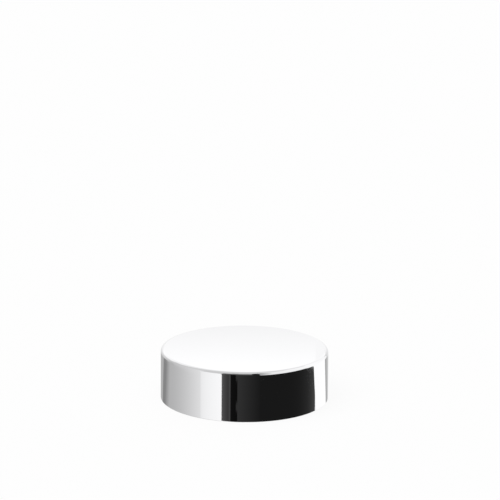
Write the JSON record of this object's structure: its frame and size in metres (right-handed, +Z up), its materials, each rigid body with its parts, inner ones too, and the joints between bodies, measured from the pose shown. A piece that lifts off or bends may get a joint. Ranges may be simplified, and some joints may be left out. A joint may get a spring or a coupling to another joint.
{
  "type": "screw cap",
  "caption": "Low round screw cap in mirror chrome, with a threaded plastic insert and a soft sealing disc, for closing a wide jar neck.",
  "frame": {"origin": "middle of the plane of the shell's rim, on which the cap stands mouth down", "axes": "+Z up along the cap's axis, from the mouth to the closed top"},
  "size_m": [0.06, 0.06, 0.0182],
  "materials": {
    "outer_shell": "polished",
    "threaded_insert": "satin",
    "sealing_disc": "matte"
  },
  "bodies": {
    "root": {"outer_shell": "outer_shell", "threaded_insert": "threaded_insert", "sealing_disc": "sealing_disc"}
  },
  "joints": []
}
